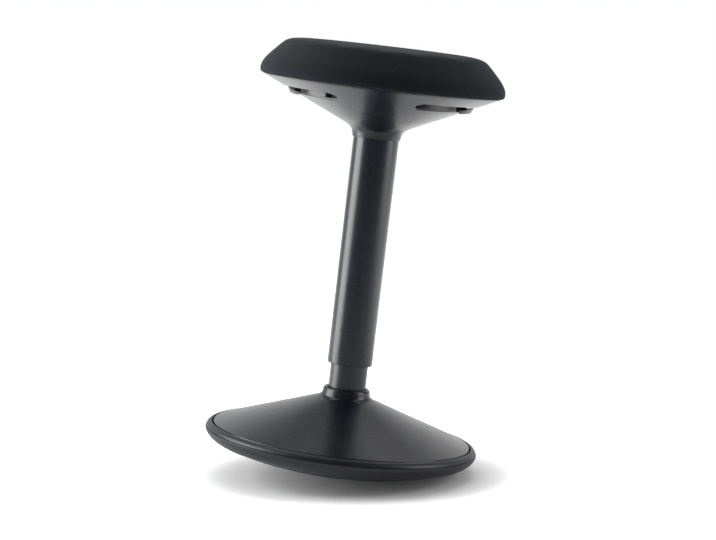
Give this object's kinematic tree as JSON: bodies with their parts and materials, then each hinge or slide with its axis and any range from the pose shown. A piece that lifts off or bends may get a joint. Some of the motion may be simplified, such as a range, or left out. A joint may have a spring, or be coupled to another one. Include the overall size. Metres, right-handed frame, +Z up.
{
  "type": "perch stool",
  "caption": "Round upholstered perch stool on a weighted, rocking dome base, with a height-adjusting gas column and an under-seat release ring.",
  "frame": {"origin": "centre of the flat under the rolling sole, on the floor, with the column upright and the seat at its lowest setting", "axes": "+Z up along the column, +X through the middle of one finger tab of the release ring, -Y the side the picture looks at"},
  "size_m": [0.364, 0.364, 0.566],
  "materials": {
    "sole_rubber": "satin moulded",
    "ballast_iron": "cast and painted",
    "shell_plastic": "satin moulded",
    "powder_steel": "satin powder coat",
    "ring_plastic": "gloss moulded",
    "ground_steel": "ground",
    "zinc_steel": "zinc plated",
    "bearing_plastic": "natural acetal",
    "cast_alloy": "as cast",
    "plywood": "plain",
    "seat_padding": "foam",
    "seat_cloth": "woven"
  },
  "bodies": {
    "base": {"sole": "sole_rubber", "ballast": "ballast_iron", "base_cover": "shell_plastic", "collar": "sole_rubber", "cover_screw_1": "zinc_steel", "cover_screw_2": "zinc_steel", "cover_screw_3": "zinc_steel", "column_tube": "powder_steel", "guide_bush": "bearing_plastic", "lower_race": "ground_steel"},
    "bearing_cage": {"ball_cage": "ground_steel"},
    "rod_group": {"upper_race": "ground_steel", "piston_rod": "ground_steel", "piston": "cast_alloy", "rod_clip": "zinc_steel", "buffer_ring": "sole_rubber"},
    "seat_group": {"gas_cylinder": "powder_steel", "rod_guide": "bearing_plastic", "valve_body": "cast_alloy", "cover_sleeve": "powder_steel", "seat_hub": "cast_alloy", "casing": "shell_plastic", "rocker_axle_1": "ground_steel", "rocker_axle_2": "ground_steel", "rocker_axle_3": "ground_steel", "hub_bolt_1": "zinc_steel", "hub_bolt_2": "zinc_steel", "hub_bolt_3": "zinc_steel", "casing_screw_1": "zinc_steel", "casing_screw_2": "zinc_steel", "casing_screw_3": "zinc_steel", "seat_board": "plywood", "seat_foam": "seat_padding", "seat_fabric": "seat_cloth"},
    "release_ring": {"release_ring": "ring_plastic"},
    "rocker_a": {"rocker_1": "zinc_steel"},
    "rocker_b": {"rocker_2": "zinc_steel"},
    "rocker_c": {"rocker_3": "zinc_steel"},
    "plunger": {"release_pin": "ground_steel", "plunger_cap": "bearing_plastic"}
  },
  "joints": [
    {"name": "seat_swivel", "type": "hinge", "parent": "base", "child": "rod_group", "pos_m": [0, 0, 0.042], "axis": [0, 0, 1], "continuous": true},
    {"name": "cage_turn", "type": "hinge", "parent": "base", "child": "bearing_cage", "pos_m": [0, 0, 0.0434], "axis": [0, 0, 1], "continuous": true},
    {"name": "seat_lift", "type": "slide", "parent": "rod_group", "child": "seat_group", "axis": [0, 0, 1], "range_m": [0, 0.25]},
    {"name": "ring_lift", "type": "slide", "parent": "seat_group", "child": "release_ring", "axis": [0, 0, 1], "range_m": [0, 0.005], "stiffness_N_per_m": 400},
    {"name": "rocker_turn_1", "type": "hinge", "parent": "seat_group", "child": "rocker_a", "pos_m": [0, 0.04, 0.49994], "axis": [1, 0, 0], "range_deg": [0, 5.52]},
    {"name": "rocker_turn_2", "type": "hinge", "parent": "seat_group", "child": "rocker_b", "pos_m": [-0.03464, -0.02, 0.49994], "axis": [-0.5, 0.866, 0], "range_deg": [0, 5.52]},
    {"name": "rocker_turn_3", "type": "hinge", "parent": "seat_group", "child": "rocker_c", "pos_m": [0.03464, -0.02, 0.49994], "axis": [-0.5, -0.866, 0], "range_deg": [0, 5.52]},
    {"name": "pin_press", "type": "slide", "parent": "seat_group", "child": "plunger", "axis": [0, 0, -1], "range_m": [0, 0.0031]}
  ],
  "couplings": [
    {"joint": "cage_turn", "follows": "seat_swivel", "ratio": 0.5},
    {"joint": "rocker_turn_1", "follows": "ring_lift", "rad_per_m": 19.25},
    {"joint": "rocker_turn_2", "follows": "ring_lift", "rad_per_m": 19.25},
    {"joint": "rocker_turn_3", "follows": "ring_lift", "rad_per_m": 19.25},
    {"joint": "pin_press", "follows": "ring_lift", "ratio": 0.6153}
  ]
}
